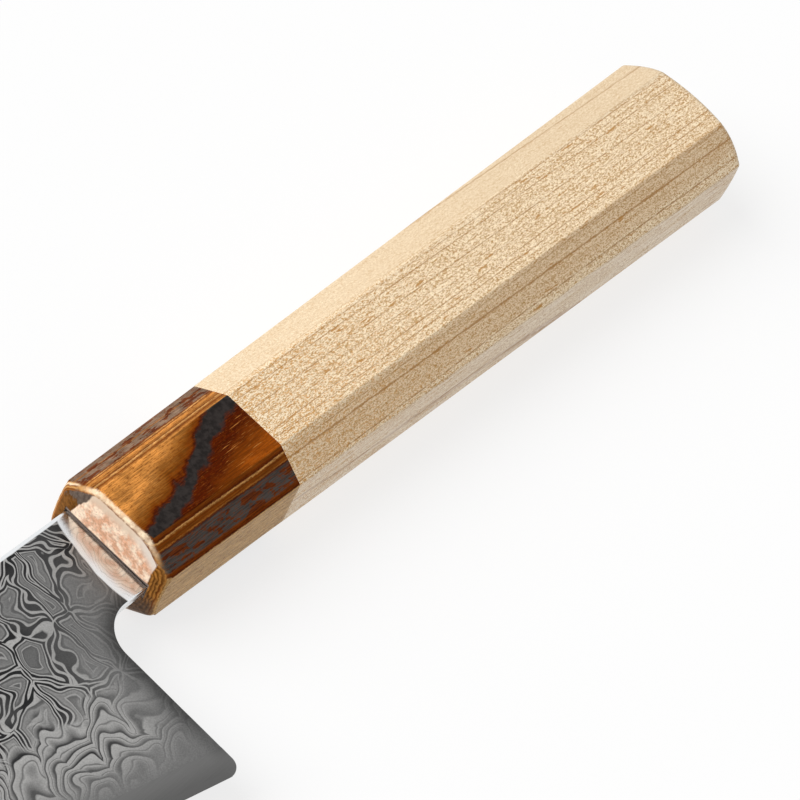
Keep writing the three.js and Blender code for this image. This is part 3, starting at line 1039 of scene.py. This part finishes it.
# Dyed wood: thin dyed layers lie one on another through the handle's thickness. A chamfer cuts them into
# stripes, a side flat grazes one slate layer, which runs over it as a jagged slanting band.
dyedLook = {
    "orange": (0.62, 0.25, 0.055),
    "amber": (0.335, 0.124, 0.022),
    "gold": (0.66, 0.34, 0.11),
    "deep": (0.2, 0.06, 0.006),
    "brown": (0.17, 0.036, 0.002),
    "rust": (0.3, 0.067, 0.004),
    "red": (0.074, 0.0088, 0.0005),
    "slate": (0.027, 0.0225, 0.0208),
    "ash": (0.072, 0.06, 0.053),
    "grey": (0.225, 0.145, 0.095),
    "tan": (0.58, 0.355, 0.15),
    "sand": (0.48, 0.285, 0.105),
    "cream": (1.0, 0.8, 0.56),
    "seed": (31.0, 7.0, 3.0),
    "gloss": (0.36, 0.5),
    "bump": (0.15, 0.05),
    "shader": lacquer,
    "marks": ["rim"],
    "grain": {
        "fibre": (3.0, 0.16, 2.6),
        "pores": (0.7, 0.15, 2.8),
        "dashes": (3.2, 0.14, 2.2),
        "patches": (2.4, 0.8, 2.6),
        "drift": (16.0, 1.4, 1.0),
    },
    "noises": {
        "broad": (0.2, 1.0),
        "jagged": (0.6, 2.0, 0.6),
        "ragged": (3.0, 2.0),
        "blotch": (1.3, 3.0, 0.6),
        "fray": (1.6, 3.0, 0.6),
        "breaks": (0.9, 3.0, 0.6),
        "cloud": (0.7, 3.0, 0.6),
        "mottle": (2.2, 3.0, 0.6),
        "dots": (3.0, 1.0),
    },
    "bandTurn": math.radians(20.5),
    "bandJog": (-18.5, -15.0, 0.4, -0.4),
    "bandWander": {"broad": 2.2, "jagged": 2.2, "ragged": 0.16},
    "flatLayers": [  # along a side flat, square to the slate band, from the spine side
        (-4.0, "orange"), (0.2, "orange"), (1.4, "amber"), (2.4, "deep"), (3.0, "brown"), (3.35, "red"),
        (3.85, "slate"), (5.65, "slate"), (6.3, "red"), (7.6, "red"), (9.4, "brown"), (12.0, "rust"),
    ],
    "flatEnd": (0.03, 0.14),  # depth at which the stripes begin
    "stripeWander": {"drift": 0.35, "ragged": 0.16},
    "spineLayers": [  # by depth under the side flats; the first gold, at the ridge, is a painted highlight
        (0.0, "gold"), (0.12, "orange"), (0.3, "amber"), (0.46, "brown"), (0.54, "amber"),
        (0.74, "gold"), (0.82, "brown"), (0.92, "amber"), (1.3, "orange"), (1.46, "brown"),
        (1.56, "gold"), (1.7, "brown"), (1.85, "grey"), (2.5, "grey"), (2.6, "amber"), (2.75, "grey"),
        (3.2, "grey"), (3.4, "brown"), (4.6, "amber"), (4.9, "ash"), (5.9, "grey"), (6.1, "brown"),
        (7.5, "amber"),
    ],
    "edgeLayers": [
        (0.0, "deep"), (0.3, "brown"), (0.52, "red"), (0.6, "gold"), (0.72, "deep"), (0.82, "brown"),
        (0.94, "deep"), (1.04, "brown"), (1.14, "amber"), (1.24, "red"), (1.38, "ash"), (2.85, "ash"),
        (3.0, "brown"), (3.3, "red"), (3.45, "tan"), (4.3, "sand"), (4.6, "tan"), (5.2, "sand"),
        (5.5, "tan"), (6.3, "sand"), (6.6, "tan"), (7.5, "sand"),
    ],
    "edgeSide": (-0.5, 0.5),
    "slateStart": (3.5, 4.0),
    "slateEnd": (5.6, 6.2),
    "redStart": (5.8, 6.6),
    "patchShare": (0.54, 0.64, 0.0, 0.9),
    "patchStart": (1.4, 1.7),
    "patchEnd": (3.0, 3.4),
    "cloudShare": (0.35, 0.65),
    "cloudSwing": 0.36,
    "cloudEnd": (1.0, 3.0),
    "fibreShade": (0.1, 0.9, 0.72, 1.26),
    "blotchShade": (0.35, 0.65, 0.7, 1.4),
    "poreShare": (0.58, 0.9, 0.0, 0.7),
    "dashShare": (0.72, 0.92, 0.0, 0.75),
    "dashAlong": (-22.0, -8.0, 1.0, 0.25),
    "rimStart": (0.0, 0.05),
    "crackSwing": 0.3,  # brown line inside the rim
    "crackStart": (0.4, 0.48),
    "crackEnd": (0.5, 0.6),
    "crackShare": (0.4, 0.6, 0.15, 0.85),
    "rimHighlightSwing": 0.5,  # painted highlight: a broken cream line at the rim
    "rimHighlightStart": (-0.15, 0.15),
    "rimHighlightEnd": (0.2, 0.62),
    "rimHighlightBreaks": (0.36, 0.6, 0.6, 1.0),
    "rimHighlightSide": (5.4, 7.0, 0.8, 0.95),
    "rimHighlightDown": (6.6, 7.6, 1.0, 0.15),
    "highlightCreamSide": (5.4, 7.0),
    "rimLayers": [  # cut by the dome at the spine end
        (0.0, "gold"), (0.1, "cream"), (0.22, "brown"), (0.32, "gold"), (0.46, "brown"), (0.6, "amber"),
        (0.72, "brown"),
    ],
    "cutSwing": 0.5,
    "cutEnd": (0.6, 0.72),
    "cutSpine": (-7.6, -6.8, 0.85, 0.0),
}

# The ferrule's front is bare end grain between two dyed ends.
endGrainLook = {
    "pink": (0.77, 0.425, 0.265),
    "cream": (1.0, 0.78, 0.59),
    # the next two colours paint the sheen on the domed rim
    "pale": (0.68, 0.54, 0.41),
    "paintedSheen": (0.83, 0.745, 0.655),
    "pore": (0.34, 0.15, 0.08),
    "slate": (0.125, 0.092, 0.073),
    "brown": (0.15, 0.056, 0.009),
    "rust": (0.46, 0.205, 0.05),
    "edgeBrown": (0.12, 0.042, 0.006),
    "edgeRust": (0.36, 0.148, 0.03),
    "seal": (0.36, 0.28, 0.24),
    "start": (6.4, 7.8, 0.44, 0.1),  # distance in from the rim, less at both ends
    "startSwing": 0.24,
    "startSoft": 0.1,
    "pinkShare": (0.38, 0.62),
    "mottleShade": (0.32, 0.68, 0.84, 1.18),
    "poreShare": (0.68, 0.78, 0.0, 0.5),
    "paintedSheenDown": (1.5, 5.5),
    "paintedSheenRim": (0.8, 2.1, 0.9, 0.0),
    "slateWander": {"mottle": 4.0, "jagged": 3.0},
    "slateSide": (3.2, 4.2),
    "slateAndPaintedShadeBelow": (-3.0, 0.5, 0.75, 0.0),
    "rustShare": (0.4, 0.62, 0.0, 0.16),
    "ply": 0.5,  # gap of the layers that the dome cuts at the edge end
    "plySwing": 0.9,
    "plyStart": (0.1, 0.35),
    "plyEnd": (0.55, 0.9, 1.0, 0.2),
    "dyeShade": (0.3, 0.7, 0.7, 1.25),
    "spineEnd": -7.1,
    "spineLean": 0.38,
    "spineSwing": 0.9,
    "spineSoft": 0.12,
    "edgeEnd": 6.9,
    "edgeReachWithShadeBelow": (-2.0, 0.0, 1.4, 0.0),
    "edgeSwing": 1.8,
    "edgeSoft": 0.25,
    "neckSoft": 0.25,
    "sealSoft": 0.01,
    "sealTop": (-0.1, -0.04),
    "sealShade": (0.3, 0.7, 0.8, 1.2),
}


def dyedRamp(value, layers):
    return rampAlong(value, [(place, dyedLook[name]) for place, name in dyedLook[layers]])


# Slanting layers on the side flats and stripes below them: place across the slate band, share of the
# stripes, and colour.
def layerColours(at):
    look = dyedLook
    slant = (-math.sin(look["bandTurn"]), math.cos(look["bandTurn"]), 0.0)
    across = dotWith(at.place, slant) + ease(at.ahead, look["bandJog"]) + swings(at, look["bandWander"])
    depth = at.depth + swings(at, look["stripeWander"])
    edgeSide = ease(at.down, look["edgeSide"])
    stripes = mixColour(edgeSide, dyedRamp(depth, "spineLayers"), dyedRamp(depth, "edgeLayers"))
    under = ease(at.depth, look["flatEnd"])
    return across, under, mixColour(under, dyedRamp(across, "flatLayers"), stripes)


# Patches across the stripes, fibres, dark pores, and pale dashes in the red wood.
def addGrain(at, across, under, wood):
    look = dyedLook
    slateBand = ease(across, look["slateStart"]) * fade(across, look["slateEnd"])
    clear = maximum(under, 1.0 - slateBand)
    patches = ease(at.patches, look["patchShare"])
    patches = patches * ease(at.depth, look["patchStart"]) * fade(at.depth, look["patchEnd"])
    wood = mixColour(patches, wood, mixColour(at.fibre, look["red"], look["brown"]))
    cloudy = swing(ease(at.jagged, look["cloudShare"]), look["cloudSwing"])
    shade = ease(at.fibre, look["fibreShade"]) + cloudy * fade(across, look["cloudEnd"])
    wood = shadeColour(wood, mixValue(clear, ease(at.blotch, look["blotchShade"]), shade))
    wood = mixColour(ease(at.pores, look["poreShare"]) * clear, wood, look["brown"])
    redWood = ease(across, look["redStart"]) * fade(at.depth, look["flatEnd"])
    dashes = ease(at.dashes, look["dashShare"]) * redWood * ease(at.ahead, look["dashAlong"])
    return mixColour(dashes, wood, look["orange"])


# Pink and cream end grain; a painted pale-grey sheen towards the rim, paler to the edge side.
def endGrainColours(at):
    look = endGrainLook
    grain = mixColour(ease(at.cloud, look["pinkShare"]), look["cream"], look["pink"])
    grain = shadeColour(grain, ease(at.mottle, look["mottleShade"]))
    grain = mixColour(ease(at.dots, look["poreShare"]), grain, look["pore"])
    ash = mixColour(ease(at.down, look["paintedSheenDown"]), look["pale"], look["paintedSheen"])
    return mixColour(ease(at.rim, look["paintedSheenRim"]), grain, ash)


# Brown and slate at the spine end, and cut layers of brown and rust at the edge end.
def dyedEndColours(at):
    look = endGrainLook
    spineDye = mixColour(ease(at.cloud, look["rustShare"]), look["brown"], look["rust"])
    slate = ease(at.side + swings(at, look["slateWander"]), look["slateSide"])
    spineDye = mixColour(slate, spineDye, look["slate"])
    plies = repeatShare(at.rim + swing(at.jagged, look["plySwing"]), look["ply"])
    streaks = ease(plies, look["plyStart"]) * ease(plies, look["plyEnd"])
    edgeDye = mixColour(streaks, look["edgeBrown"], look["edgeRust"])
    # Slate on the lower side of the edge end: dye and painted shade under the neck.
    edgeDye = mixColour(ease(at.upper, look["slateAndPaintedShadeBelow"]), edgeDye, look["slate"])
    dyed = mixColour(ease(at.down, dyedLook["edgeSide"]), spineDye, edgeDye)
    return shadeColour(dyed, ease(at.mottle, look["dyeShade"]))


# Front inside the rim: the end grain is bare as far as the dyed ends and the lower end of the neck.
def addFront(at, wood):
    look = endGrainLook
    lean = at.down - at.side * look["spineLean"] + swing(at.jagged, look["spineSwing"])
    # The dyed edge end reaches further on the lower side, partly as painted shade.
    reach = at.down + swing(at.jagged, look["edgeSwing"]) + ease(at.upper, look["edgeReachWithShadeBelow"])
    bare = stepUp(lean, look["spineEnd"], look["spineSoft"])
    bare = bare * stepDown(reach, look["edgeEnd"], look["edgeSoft"])
    bare = bare * fade(at.down, (joint["neckY"] - look["neckSoft"], joint["neckY"]))
    colours = mixColour(bare, dyedEndColours(at), endGrainColours(at))
    start = ease(abs(at.down), look["start"])
    inFront = ease(at.rim + swing(at.ragged, look["startSwing"]), (start, start + look["startSoft"]))
    return mixColour(inFront, wood, colours)


# Rim: painted highlight as a broken cream line, a thin brown line inside it, cut layers at the spine
# end.
def addRim(at, wood):
    look = dyedLook
    crack = at.rim + swing(at.jagged, look["crackSwing"])
    crack = ease(crack, look["crackStart"]) * fade(crack, look["crackEnd"])
    wood = mixColour(crack * ease(at.broad, look["crackShare"]), wood, look["brown"])
    # Painted highlight along the rim, broken up by noise.
    highlightPlace = at.rim + swing(at.fray, look["rimHighlightSwing"])
    onFront = ease(at.rim, look["rimStart"])
    line = ease(highlightPlace, look["rimHighlightStart"]) * fade(highlightPlace, look["rimHighlightEnd"]) * onFront
    line = line * ease(at.breaks, look["rimHighlightBreaks"])
    line = line * ease(at.side, look["rimHighlightSide"]) * ease(at.down, look["rimHighlightDown"])
    pale = mixColour(ease(at.side, look["highlightCreamSide"]), look["gold"], look["cream"])
    wood = mixColour(line, wood, pale)
    cut = at.rim + swing(at.jagged, look["cutSwing"])
    spineEnd = onFront * fade(cut, look["cutEnd"]) * ease(at.down, look["cutSpine"])
    return mixColour(spineEnd, wood, dyedRamp(cut, "rimLayers"))


# Seal round the blade's neck, a little below the front.
def addSeal(at, wood):
    look = endGrainLook
    low, high, half = mouthSlot()
    soft = look["sealSoft"]
    seal = stepDown(at.side, half, soft) * stepUp(at.down, low, soft) * stepDown(at.down, high, soft)
    colour = mixColour(at.ragged, look["seal"], look["slate"])
    colour = shadeColour(colour, ease(at.ragged, look["sealShade"]))
    return mixColour(seal * fade(at.ahead, look["sealTop"]), wood, colour)


def makeDyedWood():
    at = startMaterial("dyed_figured_wood", dyedLook)
    addPlace(at)
    at.side = abs(at.upper)
    at.depth = halfThickness - at.side
    across, under, wood = layerColours(at)
    wood = addGrain(at, across, under, wood)
    wood = addFront(at, wood)
    wood = addRim(at, wood)
    wood = addSeal(at, wood)
    return finishMaterial(at, wood, handled(at), at.fibre)


giveMaterial(dyedFerrule, makeDyedWood())


# Dowel: plain pale wood with long fibres and small pores.
dowelLook = {
    "pale": (0.86, 0.68, 0.48),
    "tan": (0.7, 0.49, 0.3),
    "pore": (0.45, 0.26, 0.13),
    "seed": (5.0, 17.0, 9.0),
    "gloss": (0.6, 0.75),
    "bump": (0.2, 0.05),
    "grain": {"fibre": (9.0, 0.4, 2.6), "pores": (1.6, 0.16, 2.2)},
    "poreShare": (0.74, 0.95, 0.0, 0.6),
}


def makeDowelWood():
    look = dowelLook
    at = startMaterial("plain_dowel_wood", look)
    wood = mixColour(at.fibre, look["tan"], look["pale"])
    wood = mixColour(ease(at.pores, look["poreShare"]), wood, look["pore"])
    return finishMaterial(at, wood, handled(at), at.fibre)


giveMaterial(hiddenDowel, makeDowelWood())


# Patterned steel: outlined cells, as etching draws folded layers. Cells stand tall and bold by the
# spine, and lower down they give way to rows of broad soft arches. Neck and spine are polished.
steelLook = {
    "dark": (0.024, 0.024, 0.025),
    "plain": (0.165, 0.164, 0.162),
    "bright": (0.275, 0.272, 0.266),
    "light": (0.43, 0.425, 0.415),
    "polished": (0.82, 0.84, 0.855),
    "seed": (3.0, 11.0, 5.0),
    "gloss": (0.3, 0.42),
    "polishedGloss": 0.22,
    "bump": (0.12, 0.03),
    "shader": {"Metallic": 1.0},
    "marks": ["border", "spine", "cover"],
    "noises": {"waver": (0.3, 1.0), "ripple": (1.2,), "drift": (0.15, 1.0), "specks": (5.0, 2.0)},
    "slant": [(1.0, 0.0, 4.0), (0.0, 1.0, 6.0)],  # figure read through the steel, so both faces differ
    "folds": [(0.14, 6.0), (0.42, 2.2)],  # scale and reach of the noises that bend the figure
    "randomness": 0.95,
    "tallCell": (4.3, 6.0, 1.0),
    "cellWaver": 2.0,
    "archCell": (5.6, 18.0, 1.0),
    "archGap": 1.7,
    "archBow": 0.3,
    "archY": 16.0,
    "archLean": 0.1,
    "archWaver": 8.0,
    "archStart": (-1.0, 1.0),
    # place, light lines and dark steel: by distance from a cell's wall, and down a row of arches
    "cellLines": [
        (-0.6, 0.0, 1.0), (-0.05, 0.0, 1.0), (0.05, 1.0, 0.0), (0.3, 1.0, 0.0), (0.38, 0.0, 1.0),
        (0.82, 0.0, 1.0), (0.9, 1.0, 0.0), (1.1, 0.8, 0.0), (1.18, 0.0, 0.6), (1.4, 0.0, 0.3),
        (1.5, 0.2, 0.0), (2.1, 0.0, 0.1), (2.2, 0.7, 0.0), (2.35, 0.5, 0.0), (2.45, 0.0, 0.5),
        (3.0, 0.0, 0.2),
    ],
    "archLines": [
        (0.0, 0.0, 0.9), (0.12, 0.0, 1.0), (0.2, 1.0, 0.0), (0.3, 0.85, 0.0), (0.5, 0.7, 0.0),
        (0.58, 0.0, 0.7), (0.66, 0.9, 0.0), (0.76, 0.1, 0.0), (1.0, 0.0, 0.8),
    ],
    "lightShare": 0.9,
    "contrastHeel": (1.0, 11.5, 0.16, 1.0),
    "contrastEdge": (0.0, 0.2, 0.05, 1.0),
    "contrastDrift": (0.36, 0.55, 0.78, 1.0),
    "liftDown": (6.0, 17.0),
    "liftHeel": (1.0, 8.0),
    "liftEdge": (0.0, 0.2, 0.08, 1.0),
    "speckShade": (0.3, 0.7, 0.9, 1.1),
    "heelWidth": 2.8,  # painted shade: the face darkens over this width to the heel line, less above the edge
    "heelPaintedShade": (0.0, 0.2, 0.68, 0.4),
    "collarMiddle": 3.0,
    "collarBow": 0.018,
    "collarWaver": 0.5,
    "collarEnd": (3.45, 3.7),
    "collarFall": (1.4, 4.0),
    "collarBump": (1.0, 0.1),
    "crown": (0.6, 0.76),
    "wall": (0.02, 0.07),
    "mirroredRingGap": 0.42,  # painted reflection: faint rings of the ferrule's end grain in the polished collar
    "mirroredRingPlace": (-0.8, -0.9, 0.0),
    "mirroredRingScale": (1.0, 0.5, 0.0),
    "mirroredRingWander": {"waver": 2.0, "ripple": 0.4},
    "mirroredRingLine": (0.0, 0.35),
    "mirroredRingEnd": (2.6, 3.3),
    "mirroredRingShade": (0.0, 1.0, 1.0, 0.74),
}


# Distance from the nearest cell wall, or from the nearest cell centre, in millimetres.
def figureField(place, size, scale, feature):
    sockets = {"Vector": vectorCalc("DIVIDE", place, size), "Scale": 1.0}
    sockets["Randomness"] = steelLook["randomness"]
    cells = addNode(place.tree, "TexVoronoi", sockets, voronoi_dimensions="2D", feature=feature)
    return fieldOf(cells, "Distance") * scale


def figureLines(value, lines):
    return splitColour(rampAlong(value, [(place, (light, dark, 0.0)) for place, light, dark in lines]))


# Light lines and dark steel of the figure: cells above, and below them arches, which are the row less
# the square of the distance from a column's middle, repeated at archGap.
def etchedFigure(at):
    look = at.look
    slantX, slantY = (dotWith(at.here, direction) for direction in look["slant"])
    flat = fieldOf(addNode(at.tree, "CombineXYZ", {0: slantX, 1: slantY}))
    for scale, reach in look["folds"]:
        flat = vectorCalc("ADD", flat, shadeColour(noise(at.here, scale, 0.0, output="Color"), reach))
    wallDistance = figureField(flat, look["tallCell"], look["tallCell"][1], "DISTANCE_TO_EDGE")
    cells = figureLines(wallDistance + swing(at.waver, look["cellWaver"]), look["cellLines"])
    column = figureField(flat, look["archCell"], look["archCell"][0], "F1")
    row = splitVector(flat)[1] - column * column * look["archBow"]
    arches = figureLines(repeatShare(row, look["archGap"]), look["archLines"])
    lower = at.down - look["archY"] + at.ahead * look["archLean"] + swing(at.waver, look["archWaver"])
    lower = ease(lower, look["archStart"])
    return [mixValue(lower, cells[k], arches[k]) for k in range(2)]


# Polished steel with a painted reflection of the end grain's rings in the collar.
def collarWithPaintedRings(at, reach):
    look = at.look
    sockets = {"Vector": at.place, "Location": look["mirroredRingPlace"], "Scale": look["mirroredRingScale"]}
    radius = vectorCalc("LENGTH", fieldOf(addNode(at.tree, "Mapping", sockets)), output="Value")
    rings = repeatShare(radius + swings(at, look["mirroredRingWander"]), look["mirroredRingGap"])
    rings = fade(rings, look["mirroredRingLine"]) * fade(reach, look["mirroredRingEnd"])
    return shadeColour(look["polished"], ease(rings, look["mirroredRingShade"]))


def makePatternedSteel():
    look = steelLook
    at = startMaterial("etched_layered_steel", look)
    addPlace(at)
    lightLine, darkBand = etchedFigure(at)
    # Contrast grows away from the heel line, fades above the edge and changes from place to place.
    contrast = ease(at.border, look["contrastHeel"]) * ease(at.cover, look["contrastEdge"])
    contrast = contrast * ease(at.drift, look["contrastDrift"])
    lift = ease(at.down, look["liftDown"]) * ease(at.border, look["liftHeel"])
    lift = lift * slide(at.cover, look["liftEdge"])
    steel = mixColour(lift, look["plain"], look["bright"])
    steel = mixColour(darkBand * contrast, steel, look["dark"])
    steel = mixColour(lightLine * contrast * look["lightShare"], steel, look["light"])
    steel = shadeColour(steel, ease(at.specks, look["speckShade"]))
    # Painted shade towards the heel line.
    heelPaintedShade = ease(at.cover, look["heelPaintedShade"])
    steel = shadeColour(steel, ease(at.border, (0.0, look["heelWidth"], heelPaintedShade, 1.0)))
    # Polished collar by the ferrule, round spine and the walls of neck, choil and heel.
    middle = at.down - look["collarMiddle"]
    reach = at.ahead + middle * middle * look["collarBow"] + swing(at.waver, look["collarWaver"])
    polish = maximum(fade(reach, look["collarEnd"]), fade(at.spine, look["crown"]))
    polish = maximum(polish, fade(at.border, look["wall"]))
    steel = mixColour(polish, steel, collarWithPaintedRings(at, reach))
    rough = mixValue(polish, handled(at), look["polishedGloss"])
    # The polished neck falls away a little where the etched face begins.
    slope = bumpNormal(fade(reach, look["collarFall"]), *look["collarBump"])
    return finishMaterial(at, steel, rough, darkBand * (polish - 1.0), slope)


patternedSteel = makePatternedSteel()
giveMaterial(claddingLeft, patternedSteel)
giveMaterial(claddingRight, patternedSteel)


# Core steel: satin ground along the blade, darker to the edge, painted shade at the heel line, polished
# walls.
coreLook = {
    "satin": (0.175, 0.174, 0.172),
    "line": (0.15, 0.149, 0.147),
    "bevel": (0.168, 0.167, 0.165),
    "polished": (0.8, 0.795, 0.79),
    "seed": (2.0, 8.0, 1.0),
    "gloss": (0.28, 0.4),
    "bump": (0.08, 0.02),
    "shader": {"Metallic": 1.0},
    "marks": ["toEdge", "border"],
    "grain": {"hairlines": (5.0, 0.09, 2.0)},
    "bevelEnd": (0.7, 0.95),
    "heelWidth": 2.8,
    "heelPaintedShade": (1.0, 6.0, 1.05, 0.45),
    "edgeShade": (0.0, 4.0, 0.7, 1.0),
    "wall": (0.01, 0.04),
}


def makeCoreSteel():
    look = coreLook
    at = startMaterial("satin_core_steel", look)
    steel = mixColour(at.hairlines, look["satin"], look["line"])
    steel = mixColour(fade(at.toEdge, look["bevelEnd"]), steel, look["bevel"])
    # Painted shade towards the heel line.
    heelPaintedShade = ease(at.toEdge, look["heelPaintedShade"])
    steel = shadeColour(steel, ease(at.border, (0.0, look["heelWidth"], heelPaintedShade, 1.0)))
    steel = shadeColour(steel, ease(at.toEdge, look["edgeShade"]))
    steel = mixColour(fade(at.border, look["wall"]), steel, look["polished"])
    return finishMaterial(at, steel, handled(at), at.hairlines)


giveMaterial(hardCore, makeCoreSteel())


# Bedding resin round the tang's end: cloudy amber with small bubbles.
resinLook = {
    "clear": (0.62, 0.5, 0.26),
    "cloudy": (0.5, 0.4, 0.24),
    "bubble": (0.78, 0.7, 0.5),
    "seed": (0.0, 0.0, 0.0),
    "gloss": (0.3, 0.5),
    "bump": (0.2, 0.1),
    "noises": {"cloud": (0.35, 3.0, 0.6)},
    "cloudShare": (0.35, 0.65),
    "bubbleScale": 0.9,
    "bubbleShare": (0.1, 0.2, 0.8, 0.0),
}


def makeResin():
    look = resinLook
    at = startMaterial("bedding_resin", look)
    cells = addNode(at.tree, "TexVoronoi", {"Vector": at.here, "Scale": look["bubbleScale"]})
    bubbles = fieldOf(cells, "Distance")
    resin = mixColour(ease(at.cloud, look["cloudShare"]), look["clear"], look["cloudy"])
    resin = mixColour(ease(bubbles, look["bubbleShare"]), resin, look["bubble"])
    return finishMaterial(at, resin, handled(at), bubbles)


giveMaterial(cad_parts["tang_bedding"], makeResin())
print("materials ready")


# White studio: floor, world and one broad soft lamp

studio = {
    "floorHalf": 4.0,
    "floorSteps": 8,
    "floorDrop": 0.05 * mm,
    "floorColour": (0.24, 0.24, 0.24),
    "floorGlow": 0.75,  # seen by the camera and in reflections
    "floorBounce": 0.6,  # glow that lights the object from below
    "roomColour": (1.0, 1.0, 1.0),
    "ambient": 0.44,
    "lampFrom": (0.54, -0.54, 0.65),
    "lampShare": 0.86,  # of a full exposure
    "lampAngle": math.radians(50),
}


# Share of white that a camera, mirror or glass ray sees, beside what lights the object.
def seenDirectly(tree):
    path = addNode(tree, "LightPath")
    seen = maximum(fieldOf(path, "Is Camera Ray"), fieldOf(path, "Is Glossy Ray"))
    return maximum(seen, fieldOf(path, "Is Transmission Ray"))


def makeFloor():
    count = studio["floorSteps"] + 1
    step = np.linspace(-studio["floorHalf"], studio["floorHalf"], count)
    x, y = np.meshgrid(step, step)
    points = np.stack([x, y, np.full_like(x, -studio["floorDrop"])], axis=-1).reshape(-1, 3)
    index = np.arange(count * count).reshape(count, count)
    quads = np.stack([index[:-1, :-1], index[:-1, 1:], index[1:, 1:], index[1:, :-1]], axis=-1)
    mesh = bpy.data.meshes.new("studio_floor")
    mesh.from_pydata(points.tolist(), [], quads.reshape(-1, 4).tolist())
    floor = bpy.data.objects.new("studio_floor", mesh)
    bpy.context.scene.collection.objects.link(floor)
    material = bpy.data.materials.new("white_floor")
    material.use_nodes = True
    tree = material.node_tree
    tree.nodes.clear()
    glow = slide(seenDirectly(tree), (0.0, 1.0, studio["floorBounce"], studio["floorGlow"]))
    matte = addNode(tree, "BsdfDiffuse", {"Color": opaque(studio["floorColour"])})
    light = addNode(tree, "Emission", {"Strength": glow})
    both = addNode(tree, "AddShader", {0: fieldOf(matte), 1: fieldOf(light)})
    addNode(tree, "OutputMaterial", {"Surface": fieldOf(both)})
    mesh.materials.append(material)


def makeWorld():
    world = bpy.data.worlds.new("white_room")
    bpy.context.scene.world = world
    world.use_nodes = True
    tree = world.node_tree
    tree.nodes.clear()
    strength = slide(seenDirectly(tree), (0.0, 1.0, studio["ambient"], 1.0))
    sky = addNode(tree, "Background", {"Color": opaque(studio["roomColour"]), "Strength": strength})
    addNode(tree, "OutputWorld", {"Surface": fieldOf(sky)})


def makeLamp():
    data = bpy.data.lights.new("key", "SUN")
    data.energy = studio["lampShare"] * math.pi
    data.angle = studio["lampAngle"]
    lamp = bpy.data.objects.new("key", data)
    lamp.visible_glossy = False  # steel mirrors the white room, not the lamp
    lamp.rotation_mode = "QUATERNION"
    lamp.rotation_quaternion = Vector(studio["lampFrom"]).to_track_quat("Z", "Y")
    bpy.context.scene.collection.objects.link(lamp)


makeFloor()
makeWorld()
makeLamp()


# Camera at the photograph's viewing angle

view = {
    "aim": (0.02237, 0.00723, 0.0075),
    "distance": 0.5193,
    "azimuth": 109.87,
    "elevation": 49.1,
    "roll": 27.26,
    "lens": 180.0,
    "sensor": 36.0,
    "clip": (0.01, 20.0),
}


def makeCamera():
    turn, tilt = math.radians(view["azimuth"]), math.radians(view["elevation"])
    back = Vector((math.sin(turn) * math.cos(tilt), -math.cos(turn) * math.cos(tilt), math.sin(tilt)))
    data = bpy.data.cameras.new("camera")
    data.lens = view["lens"]
    data.sensor_width = view["sensor"]
    data.clip_start, data.clip_end = view["clip"]
    camera = bpy.data.objects.new("camera", data)
    camera.rotation_mode = "QUATERNION"
    level = (-back).to_track_quat("-Z", "Y")
    camera.rotation_quaternion = level @ Quaternion((0.0, 0.0, 1.0), math.radians(view["roll"]))
    camera.location = Vector(view["aim"]) + back * view["distance"]
    bpy.context.scene.collection.objects.link(camera)
    bpy.context.scene.camera = camera


makeCamera()
bpy.context.scene.view_settings.view_transform = "Standard"
print("studio ready")
